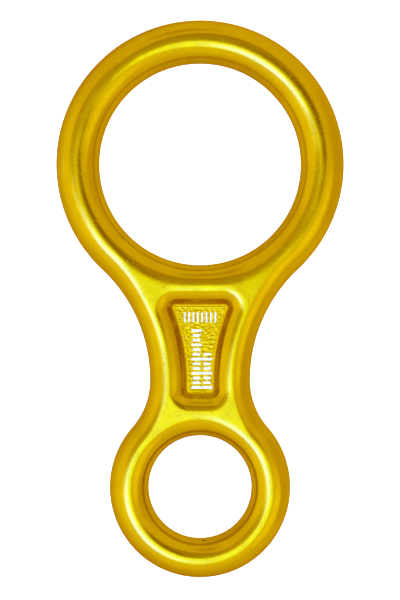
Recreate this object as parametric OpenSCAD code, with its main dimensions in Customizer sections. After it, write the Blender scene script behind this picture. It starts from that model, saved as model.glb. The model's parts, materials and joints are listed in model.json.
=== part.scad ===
// Figure-eight rope descender: one forged aluminium plate with a large rope eye, a small
// carabiner eye, a waisted neck between them and a shallow recess in each face of the neck.
// Three patches of plain white marks are printed on the floor of the front recess.
//
// The descender lies flat. +Z is its thickness and the axis of both eyes, +Y runs from the
// small eye to the large one, and the origin is the centre of the small eye, halfway through
// the plate.

/* [Eyes] */
// Inner diameter of the large eye, which takes the rope
large_eye_d = 50; // [47:0.5:52]
// Width of the bar around the large eye, seen from the front
large_bar_w = 10.75; // [10:0.05:11.5]
// Inner diameter of the small eye, which takes the carabiner
small_eye_d = 25.5; // [24:0.5:27]
// Width of the bar around the small eye, seen from the front
small_bar_w = 9.7; // [9.6:0.05:10.5]
// Distance between the centres of the two eyes
eye_spacing = 80.1; // [79:0.1:84]

/* [Plate] */
// Thickness of the plate
plate_t = 11; // [10.5:0.1:12]
// Radius of the rounding along every edge of the plate
edge_round = 4.7; // [4.2:0.1:4.7]
// Width of the neck at its narrowest place
neck_w = 24.9; // [24.5:0.1:26]
// Distance from the small eye's centre to the narrowest place
neck_y = 26.5; // [25.5:0.1:27.5]

/* [Recess] */
// Depth of the recess in each face
recess_depth = 3; // [2.6:0.1:3.2]
// Distance from the outline of the neck to the side of the recess floor
floor_inset = 9.45; // [9.3:0.05:9.8]
// Distance from the small eye's centre to the lower edge of the floor
floor_low_y = 23.7; // [23.5:0.1:24.3]
// Distance from the small eye's centre to the upper edge of the floor
floor_high_y = 44.95; // [44:0.05:45.2]
// Radius of the floor's corners
floor_corner = 0.6; // [0.4:0.1:1]
// Slope of the recess wall, in degrees from the floor
wall_slope = 53; // [50:1:54]
// Radius of the fillet between the floor and the wall
floor_fillet = 0.6; // [0.5:0.1:0.6]
// Radius of the rounding between the wall and the face
rim_round = 4.2; // [3.6:0.1:4.2]

/* [Marks] */
// Thickness of the printed layer
ink_t = 0.06; // [0.04:0.01:0.1]
// Number of ticks in the row at the top
row_ticks = 8; // [4:1:9]
// Number of bars in the long column at the left
long_column_bars = 13; // [8:1:13]
// Number of bars in the short column at the right
short_column_bars = 8; // [5:1:8]

/* [Hidden] */
$fn = 96;

front = plate_t / 2;
land = plate_t - 2 * edge_round;
neck_half = neck_w / 2;
large_bore_r = large_eye_d / 2;
large_out_r = large_bore_r + large_bar_w;
small_bore_r = small_eye_d / 2;
small_out_r = small_bore_r + small_bar_w;

// Each side of the waist is two arcs that meet at the narrowest place, and each arc is
// tangent to the outside of one eye. Their centres lie level with the narrowest place.
upper_reach = eye_spacing - neck_y;
upper_x = waist_x(large_out_r, upper_reach);
upper_r = upper_x - neck_half;
upper_turn = atan2(upper_reach, upper_x);
lower_x = waist_x(small_out_r, neck_y);
lower_r = lower_x - neck_half;
lower_turn = atan2(neck_y, lower_x);

// The sides of the recess floor follow the upper waist arcs down to the narrowest place, and
// run straight below it. floor_turn is the angle of that arc up to the floor's top corner.
floor_r = upper_r + floor_inset;
floor_half = neck_half - floor_inset;
floor_turn = asin((floor_high_y - floor_corner - neck_y) / (floor_r + floor_corner));
high_corner = [upper_x - (floor_r + floor_corner) * cos(floor_turn), floor_high_y - floor_corner];
low_corner = [floor_half - floor_corner, floor_low_y + floor_corner];

// Cuts through a face end a hair above it, so that they cross the face cleanly.
lift = 0.01;
cut_above = 1;
// Steps along the rounding of an edge, the rim of a recess and the fillet of its floor, and
// the largest steps in degrees along a long arc of an outline and round a recess corner.
edge_steps = 5;
rim_steps = 5;
fillet_steps = 2;
arc_step = 5;
corner_step = 12;

// Printed marks: ticks in a row, and two columns of cross bars.
tick_w = 0.4;
tick_h = 2.5;
tick_pitch = 1.08;
tick_y = 40.9;
bar_w = 0.6;
bar_pitch = 1.17;
bar_low_y = 24.5;
bar_wide = 2.5;
bar_narrow = 1.8;
long_column_x = -0.85;
short_column_x = 1.75;

// How far from the mid-line the centre of a waist arc lies, for an arc tangent to an eye of
// this outer radius whose centre is this far along Y from the narrowest place.
function waist_x(out_r, reach) =
    let (step = out_r - neck_half) (reach ^ 2 - step ^ 2) / (2 * step);

// Angles from one to the other in even steps, with both ends or without the last.
function turns(from, to, step, last = 1) =
    let (steps = ceil(abs(to - from) / step))
    [for (i = [0:steps - 1 + last]) from + (to - from) * i / steps];

// An outline is a list of points, each with the direction that points out of the outline
// there. On a bulge that direction runs from the arc's centre, and in a hollow towards it.
function bulge(centre, r, angles) =
    [for (a = angles) [centre + r * [cos(a), sin(a)], [cos(a), sin(a)]]];
function hollow(centre, r, angles) =
    [for (a = angles) [centre + r * [cos(a), sin(a)], -[cos(a), sin(a)]]];

// The right-hand half of each outline, from the top to the bottom.
plate_half = concat(
    bulge([0, eye_spacing], large_out_r, turns(90 - arc_step / 2, -upper_turn, arc_step, 0)),
    hollow([upper_x, neck_y], upper_r, turns(180 - upper_turn, 180, arc_step, 0)),
    hollow([lower_x, neck_y], lower_r, turns(180, 180 + lower_turn, arc_step, 0)),
    bulge([0, 0], small_out_r, turns(lower_turn, arc_step / 2 - 90, arc_step)));
floor_half_outline = concat(
    bulge(high_corner, floor_corner, turns(90, -floor_turn, corner_step, 0)),
    hollow([upper_x, neck_y], floor_r, turns(180 - floor_turn, 180, arc_step)),
    bulge(low_corner, floor_corner, turns(0, -90, corner_step)));

// Sections are lists of [distance out from the outline, height].
edge_turns = [for (i = [0:edge_steps]) 90 * i / edge_steps];
edge_up = [for (a = edge_turns) [edge_round * (cos(a) - 1), land / 2 + edge_round * sin(a)]];
edge_section = concat(
    [for (i = [edge_steps:-1:0]) [edge_up[i].x, -edge_up[i].y]],
    edge_up);

fillet_turns = [for (i = [0:fillet_steps]) wall_slope * i / fillet_steps];
rim_turns = [for (i = [rim_steps:-1:0]) wall_slope * i / rim_steps];
wall_rise = recess_depth + lift - (floor_fillet + rim_round) * (1 - cos(wall_slope));
wall_run = (floor_fillet + rim_round) * sin(wall_slope) + wall_rise / tan(wall_slope);
wall_section = concat(
    [for (a = fillet_turns) floor_fillet * [sin(a), 1 - cos(a)] - [0, recess_depth]],
    [for (a = rim_turns) [wall_run - rim_round * sin(a), lift - rim_round * (1 - cos(a))]],
    [[wall_run, cut_above]]);

// Solid with the mirrored outline of this right-hand half, whose sides follow the section
// from the bottom to the top.
module sweep(half, section) {
    count = 2 * len(half);
    outline = concat(half, [for (i = [len(half) - 1:-1:0])
        [for (v = half[i]) [-v.x, v.y]]]);
    points = [for (s = section) for (o = outline)
        let (p = o[0] + s.x * o[1]) [p.x, p.y, s.y]];
    top = (len(section) - 1) * count;
    walls = [for (k = [0:len(section) - 2]) for (i = [0:count - 1])
        let (a = k * count, j = (i + 1) % count) [a + i, a + j, a + j + count, a + i + count]];
    floors = [for (i = [0:len(half) - 2]) [i, count - 1 - i, count - 2 - i, i + 1]];
    ceilings = [for (f = floors) [top + f[3], top + f[2], top + f[1], top + f[0]]];
    polyhedron(points, concat(walls, floors, ceilings), convexity = 6);
}

// Section of the plate beside the wall of an eye, with the wall at x = 0.
module eye_edge(thickness) {
    wall = thickness - 2 * edge_round;
    translate([0, -wall / 2])
        square([edge_round, wall]);
    for (side = [-1, 1])
        translate([edge_round, side * wall / 2])
            intersection() {
                circle(edge_round);
                translate([-edge_round, side > 0 ? 0 : -edge_round])
                    square(edge_round);
            }
}

// The space inside an eye, with the rounding of both of its edges.
module eye(bore_r) {
    rotate_extrude()
        difference() {
            translate([0, -front - cut_above])
                square([bore_r + edge_round, plate_t + 2 * cut_above]);
            translate([bore_r, 0])
                eye_edge(plate_t + 2 * lift);
        }
}

// The space that one recess takes from the front face.
module recess() {
    translate([0, 0, front])
        sweep(floor_half_outline, wall_section);
}

module descender_body() {
    color([0.87, 0.7, 0.03])
        difference() {
            sweep(plate_half, edge_section);
            eye(small_bore_r);
            translate([0, eye_spacing, 0])
                eye(large_bore_r);
            recess();
            mirror([0, 0, 1])
                recess();
        }
}

// One printed mark on the floor of the front recess, centred on x, with its lower edge at y.
module print(x, y, width, height) {
    translate([x - width / 2, y, front - recess_depth])
        cube([width, height, ink_t]);
}

// A column of cross bars, of which every third is wide.
module bar_column(x, count) {
    color("white")
        for (i = [0:count - 1])
            print(x, bar_low_y + i * bar_pitch, i % 3 == 0 ? bar_wide : bar_narrow, bar_w);
}

module tick_row_print() {
    color("white")
        for (i = [0:row_ticks - 1])
            print((i - (row_ticks - 1) / 2) * tick_pitch, tick_y, tick_w, tick_h);
}

module long_column_print() {
    bar_column(long_column_x, long_column_bars);
}

module short_column_print() {
    bar_column(short_column_x, short_column_bars);
}

descender_body();
tick_row_print();
long_column_print();
short_column_print();
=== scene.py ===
"""A figure-eight rope descender lying face up on a pale floor, seen from straight above."""

import json
import math

import bmesh
import bpy
import numpy as np
from mathutils import Matrix, Vector, geometry, noise


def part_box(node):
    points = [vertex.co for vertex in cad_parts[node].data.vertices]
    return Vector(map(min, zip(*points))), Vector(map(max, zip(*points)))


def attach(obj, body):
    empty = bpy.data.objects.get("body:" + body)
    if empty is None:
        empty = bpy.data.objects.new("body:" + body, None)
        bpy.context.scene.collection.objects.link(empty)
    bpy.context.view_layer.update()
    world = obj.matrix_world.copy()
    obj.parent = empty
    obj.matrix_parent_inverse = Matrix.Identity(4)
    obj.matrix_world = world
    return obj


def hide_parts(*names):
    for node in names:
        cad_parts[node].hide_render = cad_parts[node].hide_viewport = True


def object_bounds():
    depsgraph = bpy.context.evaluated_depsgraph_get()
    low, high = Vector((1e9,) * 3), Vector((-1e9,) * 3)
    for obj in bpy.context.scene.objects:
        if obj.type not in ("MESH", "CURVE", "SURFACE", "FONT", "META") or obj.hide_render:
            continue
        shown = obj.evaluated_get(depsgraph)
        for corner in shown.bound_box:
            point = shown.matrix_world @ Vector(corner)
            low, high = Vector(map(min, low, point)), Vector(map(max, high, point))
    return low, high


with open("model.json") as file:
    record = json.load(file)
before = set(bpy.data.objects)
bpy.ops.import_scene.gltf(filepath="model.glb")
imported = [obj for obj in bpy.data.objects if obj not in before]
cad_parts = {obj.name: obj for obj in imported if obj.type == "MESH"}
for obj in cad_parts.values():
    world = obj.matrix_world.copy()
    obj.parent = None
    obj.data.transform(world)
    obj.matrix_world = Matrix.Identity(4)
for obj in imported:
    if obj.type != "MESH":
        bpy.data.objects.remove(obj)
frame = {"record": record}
cad_box = [list(corner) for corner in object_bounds()]

MM = 0.001
BODY = "root"
MOUNTS = {m["name"]: m for m in frame["record"]["mounts"]}

# Driving sizes in millimetres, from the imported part.
LOW, HIGH = (np.array(corner) / MM for corner in cad_box)
HALF_T = (HIGH[2] - LOW[2]) / 2
EYE_Y = MOUNTS["large_eye"]["pos_m"][1] / MM
LARGE_BORE = MOUNTS["large_eye"]["dims"]["r_mm"]
SMALL_BORE = MOUNTS["small_eye"]["dims"]["r_mm"]
LARGE_OUT = HIGH[1] - EYE_Y
SMALL_OUT = -LOW[1]
FLOOR_DEPTH = HALF_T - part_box("tick_row_print")[0][2] / MM

# Sizes of the neck and the recess in millimetres, and the slope of the recess wall.
NECK_HALF = 12.45
NECK_Y = 26.5
FLOOR_INSET = 9.45
FLOOR_LOW_Y = 23.7
FLOOR_HIGH_Y = 44.95
FLOOR_CORNER = 0.6
WALL_SLOPE = math.radians(53)
FLOOR_FILLET = 0.6
RIM_ROUND = 4.2

# The rounded sections are superellipses with this exponent: a little squarer than an oval.
# Each runs from an outline up to a crest, half a bar away round the eyes. The crest comes
# closer at the narrowest place of the neck. Where an eye meets the neck, its distance changes
# by the first of these swells at the mid-line and by the second towards the waists.
SECTION_POWER = 2.15
NECK_CREST = 4.6
LARGE_SWELL = (-0.3, 0.8)
SMALL_SWELL = (1.0, 0.0)

# Spacing of the mesh and the distance within which points are welded, in millimetres, and
# steps across a rounding.
LOOP_STEP = 0.7
RIM_STEP = 0.35
WEB_STEP = 0.75
FLOOR_STEP = 0.22
WELD = 0.002
BAND_STEPS = 16
WALL_STEPS = 6


# ---------------------------------------------------------------- outlines


def waist(out_r, reach):
    """Distance from the mid-line to the centre of a waist arc, and the arc's radius."""
    step = out_r - NECK_HALF
    centre_x = (reach**2 - step**2) / (2 * step)
    return centre_x, centre_x - NECK_HALF


UPPER_X, UPPER_R = waist(LARGE_OUT, EYE_Y - NECK_Y)
LOWER_X, LOWER_R = waist(SMALL_OUT, NECK_Y)
UPPER_TURN = math.atan2(EYE_Y - NECK_Y, UPPER_X)
LOWER_TURN = math.atan2(NECK_Y, LOWER_X)
LARGE_HALF = (LARGE_OUT - LARGE_BORE) / 2
SMALL_HALF = (SMALL_OUT - SMALL_BORE) / 2


def arc(centre, r, start, end, step, outward=1):
    """Rows of x, y and the outward direction along an arc, without the arc's last point."""
    count = max(2, round(abs(end - start) * r / step))
    a = np.linspace(start, end, count, endpoint=False)
    ray = np.stack([np.cos(a), np.sin(a)], 1)
    return np.hstack([np.array(centre) + r * ray, outward * ray])


def mirrored(rows):
    """The same rows on the other side of the mid-line, in the opposite order."""
    return rows[::-1] * [-1, 1, -1, 1]


def eased(start, end, count, late):
    """A smooth change from one value to the other, without the last value. It happens in the
    first half of the way, or in the second half where it is late."""
    share = np.clip(2 * np.linspace(0, 1, count, endpoint=False) - late, 0, 1)
    return start + (end - start) * (1 - np.cos(math.pi * share)) / 2


def plate_outline():
    """The outline anticlockwise from where the large eye meets the right-hand waist, as rows
    of x, y, outward direction and the inset of the crest, and the index where each run ends."""
    pi = math.pi
    large = arc((0, EYE_Y), LARGE_OUT, -UPPER_TURN, pi + UPPER_TURN, LOOP_STEP)
    upper_left = arc((-UPPER_X, NECK_Y), UPPER_R, UPPER_TURN, 0, LOOP_STEP, -1)
    lower_left = arc((-LOWER_X, NECK_Y), LOWER_R, 0, -LOWER_TURN, LOOP_STEP, -1)
    small = arc((0, 0), SMALL_OUT, pi - LOWER_TURN, 2 * pi + LOWER_TURN, LOOP_STEP)
    lower_right = arc((LOWER_X, NECK_Y), LOWER_R, pi + LOWER_TURN, pi, LOOP_STEP, -1)
    upper_right = arc((UPPER_X, NECK_Y), UPPER_R, pi, pi - UPPER_TURN, LOOP_STEP, -1)
    runs = [large, np.vstack([upper_left, lower_left]), small,
            np.vstack([lower_right, upper_right])]
    crests = [
        np.full(len(large), LARGE_HALF),
        eased(LARGE_HALF, NECK_CREST, len(upper_left), late=False),
        eased(NECK_CREST, SMALL_HALF, len(lower_left), late=True),
        np.full(len(small), SMALL_HALF),
        eased(SMALL_HALF, NECK_CREST, len(lower_right), late=False),
        eased(NECK_CREST, LARGE_HALF, len(upper_right), late=True),
    ]
    rows = np.hstack([np.vstack(runs), np.concatenate(crests)[:, None]])
    return rows, np.cumsum([len(run) for run in runs])


def eye_outline(centre_y, bore_r, half, swell, solid_run, neck_span):
    """The bore of an eye, as rows like the plate's, and the index where it meets the neck. Its
    points lie at the angles of the plate's outline round the eye, and carry on across the neck
    at the same spacing."""
    angles = np.arctan2(solid_run[:, 3], solid_run[:, 2])
    count = round((neck_span[1] - neck_span[0]) * (bore_r + half) / LOOP_STEP)
    across = np.linspace(*neck_span, count, endpoint=False)
    a = np.concatenate([angles, across])
    ray = np.stack([np.cos(a), np.sin(a)], 1)
    crest = np.full(len(a), half)
    share = math.pi * np.linspace(0, 1, count, endpoint=False)
    crest[len(angles):] += swell[0] * np.sin(share) ** 2 + swell[1] * np.sin(2 * share) ** 2
    return np.hstack([[0, centre_y] + bore_r * ray, -ray, crest[:, None]]), len(angles)


def recess_outline():
    """The edge of the recess floor anticlockwise from the middle of its lower side, as rows of
    x, y and outward direction."""
    floor_r = UPPER_R + FLOOR_INSET
    rise = FLOOR_HIGH_Y - FLOOR_CORNER - NECK_Y
    turn = math.asin(rise / (floor_r + FLOOR_CORNER))
    high = (UPPER_X - (floor_r + FLOOR_CORNER) * math.cos(turn), FLOOR_HIGH_Y - FLOOR_CORNER)
    low = (NECK_HALF - FLOOR_INSET - FLOOR_CORNER, FLOOR_LOW_Y + FLOOR_CORNER)
    corner_step = RIM_STEP * FLOOR_CORNER / (FLOOR_CORNER + RIM_ROUND)
    pi = math.pi
    right = np.vstack([
        straight((0, FLOOR_LOW_Y), (low[0], FLOOR_LOW_Y), (0, -1)),
        arc(low, FLOOR_CORNER, -pi / 2, 0, corner_step),
        straight((low[0] + FLOOR_CORNER, low[1]), (low[0] + FLOOR_CORNER, NECK_Y), (1, 0)),
        arc((UPPER_X, NECK_Y), floor_r, pi, pi - turn, RIM_STEP, -1),
        arc(high, FLOOR_CORNER, -turn, pi / 2, corner_step),
        straight((high[0], FLOOR_HIGH_Y), (0, FLOOR_HIGH_Y), (0, 1)),
        [[0, FLOOR_HIGH_Y, 0, 1]],
    ])
    return np.vstack([right, mirrored(right)[1:-1]])


def straight(start, end, outward):
    """Rows along a straight stretch, without its last point."""
    start, end = np.array(start), np.array(end)
    count = max(2, round(np.linalg.norm(end - start) / RIM_STEP))
    share = np.linspace(0, 1, count, endpoint=False)[:, None]
    return np.hstack([start + share * (end - start), np.tile(outward, (count, 1))])


# ---------------------------------------------------------------- mesh blocks


class Surface:
    """Collects blocks of faces. Their shared edges are welded at the end."""

    def __init__(self):
        self.points, self.faces, self.count = [], [], 0

    def add(self, points, faces):
        self.points.append(np.asarray(points, float))
        self.faces += [[i + self.count for i in f] for f in faces]
        self.count += len(points)

    def add_both_ways_up(self, points, faces):
        points = np.asarray(points, float)
        self.add(points, faces)
        self.add(points * [1, 1, -1], [f[::-1] for f in faces])

    def sweep(self, loops):
        """Quads between closed loops of equally many points."""
        self.add_both_ways_up(np.vstack(loops), strips(len(loops[0]), len(loops)))

    def mesh(self, name, finish=None):
        points = np.vstack(self.points)
        if finish:
            points = finish(points)
        made = bpy.data.meshes.new(name)
        made.from_pydata((points * MM).tolist(), [], self.faces)
        weld(made)
        return made


def strips(n, count):
    """Quads between this many closed loops of n points."""
    return [
        [k * n + i, k * n + (i + 1) % n, (k + 1) * n + (i + 1) % n, (k + 1) * n + i]
        for k in range(count - 1)
        for i in range(n)
    ]


def weld(mesh):
    """Joins points that coincide and makes every face point outwards and shade smoothly."""
    bm = bmesh.new()
    bm.from_mesh(mesh)
    bmesh.ops.remove_doubles(bm, verts=bm.verts, dist=WELD * MM)
    bmesh.ops.recalc_face_normals(bm, faces=bm.faces)
    for f in bm.faces:
        f.smooth = True
    bm.to_mesh(mesh)
    bm.free()


def inset(rows, distance):
    """Points this far inside an outline."""
    return rows[:, :2] - np.asarray(distance).reshape(-1, 1) * rows[:, 2:4]


def rounded_band(rows):
    """Loops from the middle of the plate's edge up to the crest."""
    loops = []
    for angle in np.linspace(0, math.pi / 2, BAND_STEPS + 1):
        across = 1 - max(math.cos(angle), 0) ** (2 / SECTION_POWER)
        up = math.sin(angle) ** (2 / SECTION_POWER)
        xy = inset(rows, rows[:, 4] * across)
        loops.append(np.hstack([xy, np.full((len(rows), 1), HALF_T * up)]))
    return loops


def wall_section():
    """The recess wall from the rim down to the floor, as distances out from the floor's edge
    and depths below the face."""
    both = FLOOR_FILLET + RIM_ROUND
    slope_rise = FLOOR_DEPTH - both * (1 - math.cos(WALL_SLOPE))
    run = both * math.sin(WALL_SLOPE) + slope_rise / math.tan(WALL_SLOPE)
    turns = np.linspace(0, WALL_SLOPE, WALL_STEPS + 1)
    rim = [(run - RIM_ROUND * math.sin(t), RIM_ROUND * (1 - math.cos(t))) for t in turns]
    foot = [(FLOOR_FILLET * math.sin(t), FLOOR_DEPTH - FLOOR_FILLET * (1 - math.cos(t)))
            for t in turns[::-1]]
    middle = [tuple((np.array(rim[-1]) * (1 - s) + np.array(foot[0]) * s)) for s in (1 / 3, 2 / 3)]
    return rim + middle + foot


def inside(points, loop):
    """Which of the points lie inside a closed loop, by the even-odd rule."""
    x, y = points[:, 0], points[:, 1]
    hit = np.zeros(len(points), bool)
    for (x1, y1), (x2, y2) in zip(loop, np.roll(loop, -1, 0)):
        if y1 != y2:
            crosses = (y1 > y) != (y2 > y)
            hit ^= crosses & (x < (x2 - x1) * (y - y1) / (y2 - y1) + x1)
    return hit


def clearance(points, loops):
    """Distance from each point to the nearest side of the loops."""
    starts = np.vstack(loops)
    sides = np.vstack([np.roll(loop, -1, 0) - loop for loop in loops])
    found = []
    for p in points:
        share = np.clip(((p - starts) * sides).sum(1) / (sides**2).sum(1), 0, 1)
        found.append(np.hypot(*(starts + share[:, None] * sides - p).T).min())
    return np.array(found)


def filled(outer, holes, step):
    """Even triangles between closed loops, on a grid that keeps half a step clear of them."""
    low, high = outer.min(0), outer.max(0)
    xs = np.arange(low[0], high[0], step)
    ys = np.arange(low[1], high[1], step * math.sqrt(3) / 2)
    grid = np.array([(x + (k % 2) * step / 2, y) for k, y in enumerate(ys) for x in xs])
    within = inside(grid, outer)
    for hole in holes:
        within &= ~inside(grid, hole)
    grid = grid[within]
    grid = grid[clearance(grid, [outer, *holes]) > 0.5 * step]
    loops = [outer, *holes]
    points = np.vstack([*loops, grid])
    edges, first = [], 0
    for loop in loops:
        n = len(loop)
        edges += [(first + i, first + (i + 1) % n) for i in range(n)]
        first += n
    made = geometry.delaunay_2d_cdt([Vector(p) for p in points], edges, [], 0, 1e-6)
    found, faces = np.array([tuple(v) for v in made[0]]), made[2]
    middles = np.array([found[list(f)].mean(0) for f in faces])
    keep = inside(middles, outer)
    for hole in holes:
        keep &= ~inside(middles, hole)
    return found, [list(f) for f, k in zip(faces, keep) if k]


# ---------------------------------------------------------------- the body


# Unevenness that forging and tumbling leave, in millimetres. The faces wave by this much over
# this length, and are pressed in by this many times as much. The front and the back take their
# noise from places this far to either side of zero.
WAVE, WAVE_LENGTH, PRESS = 0.03, 7, 0.8
FACE_NOISE = 20
# The recess floors have a grain of this height and length, with a finer layer that has this
# share of its height and is this many times as fine.
GRAIN, GRAIN_LENGTH = 0.09, 0.6
FINE_SHARE, FINE_TIMES = 0.5, 2.1
FLOOR_NOISE = 9
# A lip stands along the edge of each recess floor, at the foot of the wall. Its height varies
# this many times as finely as the grain, and its mesh follows the edge in loops at these
# distances from it.
LIP, LIP_WIDTH, LIP_TIMES = 0.065, 0.2, 0.3
LIP_LOOPS = (0, 0.08, 0.16, 0.25, 0.36)


def hand_finished(points):
    """Presses the faces in by a gentle wave, most at the crest and not at all at the edge."""
    out = points.copy()
    for i, (x, y, z) in enumerate(points):
        side = FACE_NOISE if z > 0 else -FACE_NOISE
        wave = noise.noise(Vector((x / WAVE_LENGTH, y / WAVE_LENGTH, side)))
        out[i, 2] *= 1 - WAVE * (PRESS + wave) / HALF_T
    return out


def floor_relief(xy, edge_distance, side):
    """Heights of a recess floor's grain and lip over its plane. Both fade out at its edge."""
    heights = []
    for (x, y), edge in zip(xy, edge_distance):
        at = Vector((x / GRAIN_LENGTH, y / GRAIN_LENGTH, side * FLOOR_NOISE))
        grain = GRAIN * (noise.noise(at) + FINE_SHARE * noise.noise(at * FINE_TIMES))
        grain *= min(1, (edge / LIP_WIDTH / 2) ** 2)
        lip = LIP * math.exp(-(((edge - LIP_WIDTH) / LIP_WIDTH) ** 2))
        lip *= 1 + noise.noise(at * LIP_TIMES)
        lip *= min(1, edge / LIP_WIDTH)
        heights.append(lip + grain)
    return np.array(heights)[:, None]


def body_mesh():
    """The whole forging: rounded bands along the plate's edge and round both eyes, the flat web
    between their crests, and on each face the wall and the floor of a recess."""
    surface = Surface()
    plate, ends = plate_outline()
    surface.sweep(rounded_band(plate))

    large, large_split = eye_outline(
        EYE_Y, LARGE_BORE, LARGE_HALF, LARGE_SWELL, plate[: ends[0]],
        (math.pi + UPPER_TURN, 2 * math.pi - UPPER_TURN))
    surface.sweep(rounded_band(large))
    small, small_split = eye_outline(
        0, SMALL_BORE, SMALL_HALF, SMALL_SWELL, plate[ends[1] : ends[2]],
        (LOWER_TURN, math.pi - LOWER_TURN))
    surface.sweep(rounded_band(small))

    crest = inset(plate, plate[:, 4])
    large_crest = inset(large, large[:, 4])
    small_crest = inset(small, small[:, 4])
    web = np.vstack([
        large_crest[large_split:],
        crest[:1],
        crest[ends[2] :][::-1],
        small_crest[small_split:],
        crest[ends[0] + 1 : ends[1] + 1][::-1],
    ])
    recess = recess_outline()
    section = wall_section()
    walls = [np.hstack([inset(recess, -out), np.full((len(recess), 1), HALF_T - down)])
             for out, down in section]
    surface.sweep(walls)
    flat, flat_faces = filled(web, [walls[0][:, :2]], WEB_STEP)
    surface.add_both_ways_up(np.hstack([flat, np.full((len(flat), 1), HALF_T)]), flat_faces)

    rim = [inset(recess, distance) for distance in LIP_LOOPS]
    middle, middle_faces = filled(rim[-1], [], FLOOR_STEP)
    rings = np.vstack(rim)
    parts = (
        (rings, np.repeat(LIP_LOOPS, len(recess)), strips(len(recess), len(rim))),
        (middle, clearance(middle, rim[-1:]) + LIP_LOOPS[-1], middle_faces),
    )
    for side in (1, -1):
        for xy, distance, faces in parts:
            heights = HALF_T - FLOOR_DEPTH + floor_relief(xy, distance, side)
            surface.add(np.hstack([xy, side * heights]), [f[::side] for f in faces])
    return surface.mesh("descender", hand_finished)


# ---------------------------------------------------------------- the white marks


# Width of a tick and height of a bar in millimetres, and how many of each there are. One bar
# in this many is a long one, and the others are this share of its length.
TICK_W = 0.4
BAR_H = 0.6
TICKS, LONG_COLUMN, SHORT_COLUMN = 8, 13, 8
LONG_EVERY, SHORT_BAR = 3, 0.72
# How far the ink stands above the floor, how deep it reaches below its top, and the radius of
# a patch's corners, in millimetres.
INK, INK_DEPTH = 0.05, 0.125
PATCH_CORNER = 0.12


def rounded_patch(centre, size):
    """The outline of a printed patch with rounded corners."""
    half = np.array(size) / 2 - PATCH_CORNER
    corners = []
    for start, sx, sy in ((0, 1, 1), (90, -1, 1), (180, -1, -1), (270, 1, -1)):
        for turn in np.radians([start, start + 30, start + 60, start + 90]):
            way = np.array([math.cos(turn), math.sin(turn)])
            corners.append(np.array(centre) + half * [sx, sy] + PATCH_CORNER * way)
    points = []
    for here, there in zip(corners, corners[1:] + corners[:1]):
        count = max(1, round(np.linalg.norm(there - here) / FLOOR_STEP))
        points += [here + (there - here) * i / count for i in range(count)]
    return np.array(points)


def print_mesh(name, patches):
    """A thin layer of ink for each patch, over the grain of the front recess floor."""
    surface = Surface()
    edge = recess_outline()[:, :2]
    for centre, size in patches:
        loop = rounded_patch(centre, size)
        top, faces = filled(loop, [], FLOOR_STEP)
        relief = floor_relief(top, clearance(top, [edge]), 1)
        height = HALF_T - FLOOR_DEPTH + relief + INK
        surface.add(np.hstack([top, height]), faces)
        n = len(loop)
        under = np.hstack([top[:n], height[:n] - INK_DEPTH])
        sides = [[i, n + i, n + (i + 1) % n, (i + 1) % n] for i in range(n)]
        surface.add(np.vstack([np.hstack([top[:n], height[:n]]), under]), sides)
        surface.add(under, [list(range(n))[::-1]])
    return surface.mesh(name)


def column_patches(box, count):
    """Bars up the height of a column's box."""
    low, high = np.array(box) / MM
    pitch = (high[1] - low[1] - BAR_H) / (count - 1)
    middle, width = (low[0] + high[0]) / 2, high[0] - low[0]
    widths = [width * (1 if i % LONG_EVERY == 0 else SHORT_BAR) for i in range(count)]
    return [((middle, low[1] + BAR_H / 2 + i * pitch), (w, BAR_H)) for i, w in enumerate(widths)]


def row_patches(box, count):
    """Ticks along the width of the row's box."""
    low, high = np.array(box) / MM
    pitch = (high[0] - low[0] - TICK_W) / (count - 1)
    middle, height = (low[1] + high[1]) / 2, high[1] - low[1]
    return [((low[0] + TICK_W / 2 + i * pitch, middle), (TICK_W, height)) for i in range(count)]


def add_object(name, mesh, material, replaced):
    """Adds a piece that rides on the body and stands for one of the CAD nodes."""
    piece = bpy.data.objects.new(name, mesh)
    bpy.context.scene.collection.objects.link(piece)
    mesh.materials.append(material)
    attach(piece, BODY)
    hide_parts(replaced)


# ---------------------------------------------------------------- node helpers


def link(tree, source, target):
    """Links an output to an input, or sets the input if the source is a plain value."""
    if isinstance(source, bpy.types.NodeSocket):
        tree.links.new(source, target)
    else:
        target.default_value = source


def node(tree, kind, inputs=(), **settings):
    """A new node with its settings and inputs, which are given by name or number."""
    made = tree.nodes.new(kind)
    for name, value in settings.items():
        setattr(made, name, value)
    for name, value in dict(inputs).items():
        link(tree, value, made.inputs[name])
    return made


def maths(tree, operation, *values):
    """The result of an operation on numbers."""
    made = node(tree, "ShaderNodeMath", operation=operation)
    for i, value in enumerate(values):
        link(tree, value, made.inputs[i])
    return made.outputs[0]


def ramp(tree, value, low, high, start=0.0, end=1.0):
    """The value's way from low to high, turned into a smooth way from start to end."""
    return node(tree, "ShaderNodeMapRange", {
        "Value": value, "From Min": low, "From Max": high, "To Min": start, "To Max": end,
    }, interpolation_type="SMOOTHSTEP").outputs[0]


def mixed(tree, share, first, second):
    """Two colours, mixed, with this share of the second."""
    made = node(tree, "ShaderNodeMix", data_type="RGBA")
    link(tree, share, made.inputs[0])
    link(tree, first, made.inputs[6])
    link(tree, second, made.inputs[7])
    return made.outputs[2]


# ---------------------------------------------------------------- studio


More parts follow.
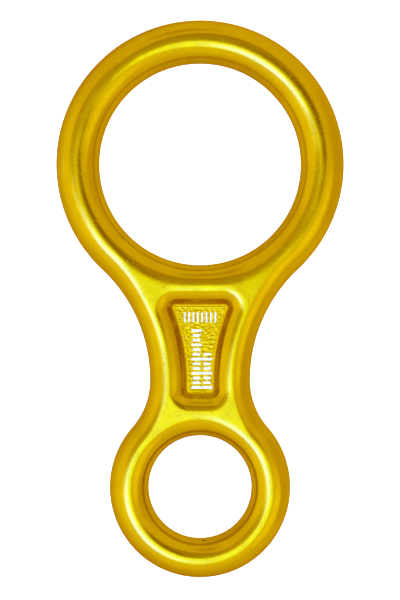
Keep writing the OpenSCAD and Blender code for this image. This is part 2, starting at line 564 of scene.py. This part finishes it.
# The studio is a tent of even light with soft brighter and darker places in it. Each place
# has its tilt from straight up and its azimuth from +X, the angles from its middle at which
# it is full and gone, all in degrees, and the red, green and blue that it adds. Yellow that
# a camera overexposes turns lemon and then pale, so bright places are cooler than the rest.
# Ten of the places started from a least-squares fit to the photo's colours by another script,
# and seven of those were then changed by hand.
TENT_LIGHT = (1.0, 1.0, 0.75)
TENT_PLACES = {
    "key_light": (14, 246, 13, 17, (0.38, 1.3, 1.0)),
    "key_end": (26, 197, 8, 12, (0.28, 0.6, 1.5)),
    "key_core": (20, 226, 5, 14.5, (0.15, 0.8, 30.0)),
    "key_halo": (24, 250, 3, 52, (0.17, 0.35, 0.0)),
    "side_light": (44, 336, 5, 25, (0.31, 0.47, 0.1)),
    "left_glow": (61, 187, 2, 43, (0.22, 0.34, 0.0)),
    "camera_shadow": (20, 76, 13, 20, (-0.38, -0.46, -0.3)),
    "camera_arm": (13, 38, 5, 11, (-0.3, -0.4, -0.3)),
    "tripod_shadow": (27, 152, 7, 18, (-0.3, -0.38, -0.1)),
    "small_shadow": (56, 97, 8, 13, (-0.22, -0.3, -0.1)),
    "right_gap": (84, 5, 20, 44, (-0.12, -0.2, -0.05)),
    "upper_left_gap": (123, 131, 2, 39, (-0.16, -0.2, -0.1)),
    "floor_shade": (124, 261, 17, 56, (-0.16, -0.22, -0.1)),
}


def make_world():
    """The tent of light all round the part."""
    world = bpy.data.worlds.new("tent")
    bpy.context.scene.world = world
    world.use_nodes = True
    tree = world.node_tree
    facing = node(tree, "ShaderNodeTexCoord").outputs["Generated"]
    light = TENT_LIGHT
    for tilt, azimuth, full, gone, added in TENT_PLACES.values():
        tilt, azimuth = math.radians(tilt), math.radians(azimuth)
        towards = (math.sin(tilt) * math.cos(azimuth), math.sin(tilt) * math.sin(azimuth),
                   math.cos(tilt))
        cosine = node(tree, "ShaderNodeVectorMath", {0: facing, 1: towards},
                      operation="DOT_PRODUCT").outputs["Value"]
        share = ramp(tree, cosine, math.cos(math.radians(gone)), math.cos(math.radians(full)))
        light = node(tree, "ShaderNodeVectorMath", {0: added, 1: share, 2: light},
                     operation="MULTIPLY_ADD").outputs[0]
    tree.links.new(light, tree.nodes["Background"].inputs["Color"])


# The toe of the camera's blue: faint blue from the scene and in the picture.
BLUE_TOE = (0.02, 0.001)


def tone_curve():
    """Plain colours, but with the faint blue in deep yellow lost, as cameras lose it."""
    view = bpy.context.scene.view_settings
    view.view_transform = "Standard"
    view.use_curve_mapping = True
    blue = view.curve_mapping.curves[2]
    blue.points.new(*BLUE_TOE)
    for point in blue.points:
        point.handle_type = "VECTOR"
    view.curve_mapping.update()


# Half the floor's width and the radius of the backdrop, in metres, and the colour, roughness
# and glow of their paper.
FLOOR_SPAN = 1.5
BACKDROP_R = 2.0
PAPER = (0.9, 0.9, 0.9, 1)
PAPER_ROUGH = 0.8
PAPER_GLOW = 1.02


def make_stage():
    """The floor under the part and the backdrop round it, white right through. The metal
    reflects the tent and not them."""
    floor = bmesh.new()
    bmesh.ops.create_grid(floor, size=FLOOR_SPAN, matrix=Matrix.Translation((0, 0, LOW[2] * MM)))
    backdrop = bmesh.new()
    bmesh.ops.create_uvsphere(backdrop, u_segments=64, v_segments=32, radius=BACKDROP_R)
    tree, shader, material = new_material("white_paper")
    shader.inputs["Base Color"].default_value = PAPER
    shader.inputs["Roughness"].default_value = PAPER_ROUGH
    shader.inputs["Emission Color"].default_value = (1, 1, 1, 1)
    shader.inputs["Emission Strength"].default_value = PAPER_GLOW
    for name, bm in (("floor", floor), ("backdrop", backdrop)):
        mesh = bpy.data.meshes.new(name)
        bm.to_mesh(mesh)
        bm.free()
        mesh.materials.append(material)
        piece = bpy.data.objects.new(name, mesh)
        bpy.context.scene.collection.objects.link(piece)
        piece.visible_glossy = False
        piece.visible_diffuse = False
        piece.visible_shadow = False


# Where the camera looks and the height of its view, in millimetres, and how far above the
# middle of the plate it hangs, in metres.
VIEW_Y = 46.4
VIEW_HEIGHT = 149.1
VIEW_DISTANCE = 0.42


def make_camera():
    """Straight above the part, which stands upright in the frame."""
    data = bpy.data.cameras.new("camera")
    camera = bpy.data.objects.new("camera", data)
    bpy.context.scene.collection.objects.link(camera)
    bpy.context.scene.camera = camera
    camera.location = (0, VIEW_Y * MM, VIEW_DISTANCE)
    data.lens = data.sensor_width * VIEW_DISTANCE / (VIEW_HEIGHT * MM)
    data.clip_end = 10 * VIEW_DISTANCE


# ---------------------------------------------------------------- materials


def new_material(name):
    """The nodes, the shader and the material itself."""
    made = bpy.data.materials.new(name)
    made.use_nodes = True
    return made.node_tree, made.node_tree.nodes["Principled BSDF"], made


def place_in_mm(tree):
    """The point on the piece in millimetres."""
    coords = node(tree, "ShaderNodeTexCoord").outputs["Object"]
    return node(tree, "ShaderNodeVectorMath", {0: coords, 3: 1 / MM}, operation="SCALE").outputs[0]


def speckle(tree, place, length, detail=2.0):
    """Noise from 0 to 1 whose features are about this many millimetres long."""
    return node(tree, "ShaderNodeTexNoise", {"Vector": place, "Scale": 1 / length,
                "Detail": detail, "Roughness": 0.55}).outputs["Fac"]


# Most of a noise lies between these two values.
SPREAD = (0.3, 0.7)

# The walls of the recesses lie within this distance of the mid-line and the flanks of the bars
# lie beyond it. The finish of a recess floor fades between these heights above it. All are in
# millimetres, as are the sizes below.
RECESS_REACH = 8.9
FLOOR_FADE = (0.1, 0.35)

# Lengths of the fine grain, the pits, the patches of duller metal and the clouds of colour.
FINE_GRAIN, PIT, DULL_PATCH, CLOUD = 0.3, 0.45, 1.6, 5

# Colours of the anodising: two that drift over the faces, and those of the recess floors, the
# fine specks and the contact mark. A speck appears where the grain rises through these values,
# and is this strong on the faces and on the floors.
FACE_YELLOWS = (0.61, 0.35, 0.014, 1), (0.58, 0.325, 0.014, 1)
FLOOR_YELLOW = (0.68, 0.38, 0.004, 1)
SPECK_BROWN = (0.42, 0.2, 0.008, 1)
MARK_BROWN = (0.16, 0.09, 0.01, 1)
SPECKS_FROM = (0.52, 0.66)
FACE_SPECKS, FLOOR_SPECKS = 0.25, 0.9

# Where the anodiser's rack touched the inside of the small eye, and how far from there its
# mark is full and gone.
CONTACT_MARK = (0.85, -13.1, 2.2)
CONTACT_FULL, CONTACT_GONE = 0.3, 0.5

# Roughness of the smoothest and the roughest places on the faces, and how much more the flanks
# of the bars, the walls of the recesses and the middle of the edges have. A recess floor has
# only this share of what its wall has.
FACE_ROUGH = (0.09, 0.14)
FLANK_ROUGH, WALL_ROUGH, EDGE_ROUGH = 0.12, 0.24, 0.24
FLOOR_SHARE = 0.1
# Depths below the face at which the extra roughness starts, and is full on a flank and on a
# wall, and heights from the middle of the plate at which the edges' is full and gone.
ROUGH_FROM, FLANK_FULL, WALL_FULL = 0.9, 1.8, 2.6
EDGE_FULL, EDGE_GONE = 1.4, 3.4

# Heights of the grain on the faces and on the floors, of the pits where they are faintest and
# strongest, and of the scratches across the parting line, in the unit of the bump.
FACE_GRAIN, FLOOR_GRAIN = 0.35, 3.5
PITS = (0.08, 0.75)
SCRATCHES = 4.0
BUMP_STRENGTH, BUMP_UNIT = 0.6, 0.04
# A pit forms where its noise falls through the first of these ranges, and the pits grow
# stronger where the clouds rise through the second.
PITS_BELOW = (0.3, 0.4)
PITTED_FROM = (0.42, 0.65)
# The scratches run up the edge: there are about this many to a millimetre round it, and they
# are stretched upwards. They are full and gone at these heights from the middle of the plate.
SCRATCH_SCALE = 5.0
SCRATCH_STRETCH = (1.0, 1.0, 0.15)
PARTING_FULL, PARTING_GONE = 0.35, 0.5

# The metal's colour at grazing angles, and its thin clear coat.
GRAZING_TINT = (0.75, 0.5, 0.1, 1)
COAT, COAT_ROUGH = 0.05, 0.12


def recess_mask(tree, x, y):
    """One over the recesses, and nothing over the flanks and the rest of the faces."""
    middle = (FLOOR_LOW_Y + FLOOR_HIGH_Y) / 2
    reach = (FLOOR_HIGH_Y - FLOOR_LOW_Y) / 2 + RIM_ROUND
    from_middle = maths(tree, "ABSOLUTE", maths(tree, "SUBTRACT", y, middle))
    along = maths(tree, "LESS_THAN", from_middle, reach)
    across = maths(tree, "LESS_THAN", maths(tree, "ABSOLUTE", x), RECESS_REACH)
    return maths(tree, "MULTIPLY", along, across)


def anodised_colour(tree, place, floor, grain, clouds):
    """Deep yellow that drifts a little, with fine brown specks and one contact mark."""
    colour = mixed(tree, ramp(tree, clouds, *SPREAD), *FACE_YELLOWS)
    colour = mixed(tree, floor, colour, FLOOR_YELLOW)
    specks = maths(tree, "MULTIPLY", ramp(tree, grain, *SPECKS_FROM),
                   ramp(tree, floor, 0.0, 1.0, FACE_SPECKS, FLOOR_SPECKS))
    colour = mixed(tree, specks, colour, SPECK_BROWN)
    away = node(tree, "ShaderNodeVectorMath", {0: place, 1: CONTACT_MARK},
                operation="DISTANCE").outputs["Value"]
    contact = ramp(tree, away, CONTACT_FULL, CONTACT_GONE, 1.0, 0.0)
    return mixed(tree, contact, colour, MARK_BROWN)


def anodised_roughness(tree, place, height, recess, floor):
    """Smooth on the faces, and duller on the flanks, the recess walls and the edges."""
    face = ramp(tree, speckle(tree, place, DULL_PATCH), *SPREAD, *FACE_ROUGH)
    flank = ramp(tree, height, HALF_T - FLANK_FULL, HALF_T - ROUGH_FROM, FLANK_ROUGH, 0.0)
    edge = ramp(tree, height, EDGE_FULL, EDGE_GONE, EDGE_ROUGH, 0.0)
    wall = ramp(tree, height, HALF_T - WALL_FULL, HALF_T - ROUGH_FROM, WALL_ROUGH, 0.0)
    wall = maths(tree, "MULTIPLY", wall, ramp(tree, floor, 0.0, 1.0, 1.0, FLOOR_SHARE))
    outside = maths(tree, "SUBTRACT", 1.0, recess)
    extra = maths(tree, "MULTIPLY", outside, maths(tree, "ADD", flank, edge))
    extra = maths(tree, "MULTIPLY_ADD", recess, wall, extra)
    return maths(tree, "ADD", face, extra)


def anodised_relief(tree, place, height, floor, grain, clouds):
    """Fine grain all over, shallow pits here and there, and a scratched parting line."""
    relief = maths(tree, "MULTIPLY", grain, ramp(tree, floor, 0.0, 1.0, FACE_GRAIN, FLOOR_GRAIN))
    pits = ramp(tree, speckle(tree, place, PIT, 1.0), *PITS_BELOW, -1.0, 0.0)
    relief = maths(tree, "MULTIPLY_ADD", pits, ramp(tree, clouds, *PITTED_FROM, *PITS), relief)
    stretched = node(tree, "ShaderNodeVectorMath", {0: place, 1: SCRATCH_STRETCH},
                     operation="MULTIPLY").outputs[0]
    scratches = node(tree, "ShaderNodeTexNoise", {"Vector": stretched, "Scale": SCRATCH_SCALE,
                     "Detail": 2.0}).outputs["Fac"]
    parting = ramp(tree, height, PARTING_FULL, PARTING_GONE, 1.0, 0.0)
    scratches = maths(tree, "MULTIPLY", scratches, parting)
    return maths(tree, "MULTIPLY_ADD", scratches, SCRATCHES, relief)


def anodised_material():
    """Yellow anodising over tumbled aluminium, left coarser in the recesses."""
    tree, shader, material = new_material("yellow_anodised_aluminium")
    place = place_in_mm(tree)
    x, y, z = node(tree, "ShaderNodeSeparateXYZ", {0: place}).outputs[:3]
    height = maths(tree, "ABSOLUTE", z)
    recess = recess_mask(tree, x, y)
    fade = [HALF_T - FLOOR_DEPTH + above for above in FLOOR_FADE]
    floor = maths(tree, "MULTIPLY", recess, ramp(tree, height, *fade, 1, 0))
    grain = speckle(tree, place, FINE_GRAIN, 3.0)
    clouds = speckle(tree, place, CLOUD)

    relief = anodised_relief(tree, place, height, floor, grain, clouds)
    bump = node(tree, "ShaderNodeBump", {"Height": relief, "Strength": BUMP_STRENGTH,
                "Distance": BUMP_UNIT * MM})
    for value, socket in (
        (anodised_colour(tree, place, floor, grain, clouds), "Base Color"),
        (anodised_roughness(tree, place, height, recess, floor), "Roughness"),
        (bump.outputs[0], "Normal"),
    ):
        tree.links.new(value, shader.inputs[socket])
    shader.inputs["Metallic"].default_value = 1
    shader.inputs["Specular Tint"].default_value = GRAZING_TINT
    shader.inputs["Coat Weight"].default_value = COAT
    shader.inputs["Coat Roughness"].default_value = COAT_ROUGH
    return material


# Colours of the ink where it is whole and where it is worn thin, the values through which its
# noise rises there, its roughness in the smoothest and the roughest places, and its bump.
INK_WHITE = (0.95, 0.95, 0.93, 1)
INK_WORN = (0.86, 0.8, 0.55, 1)
WORN_FROM = (0.58, 0.75)
INK_ROUGH = (0.42, 0.6)
INK_STRENGTH, INK_UNIT = 0.4, 0.01
# Lengths of its worn spots, its duller patches and its bumps, in millimetres.
WORN_SPOT, INK_PATCH, INK_BUMP = 0.25, 0.4, 0.15


def ink_material():
    """Matt white ink, a little thin and worn in places."""
    tree, shader, material = new_material("white_ink")
    place = place_in_mm(tree)
    worn = ramp(tree, speckle(tree, place, WORN_SPOT, 3.0), *WORN_FROM)
    rough = ramp(tree, speckle(tree, place, INK_PATCH), *SPREAD, *INK_ROUGH)
    bump = node(tree, "ShaderNodeBump", {"Height": speckle(tree, place, INK_BUMP),
                "Strength": INK_STRENGTH, "Distance": INK_UNIT * MM})
    tree.links.new(mixed(tree, worn, INK_WHITE, INK_WORN), shader.inputs["Base Color"])
    tree.links.new(rough, shader.inputs["Roughness"])
    tree.links.new(bump.outputs[0], shader.inputs["Normal"])
    return material


make_camera()
make_world()
tone_curve()
make_stage()
anodised = anodised_material()
ink = ink_material()
add_object("descender", body_mesh(), anodised, "descender_body")
for name, maker, count in (
    ("tick_row_print", row_patches, TICKS),
    ("long_column_print", column_patches, LONG_COLUMN),
    ("short_column_print", column_patches, SHORT_COLUMN),
):
    patches = maker(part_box(name), count)
    add_object("white_" + name, print_mesh(name, patches), ink, name)
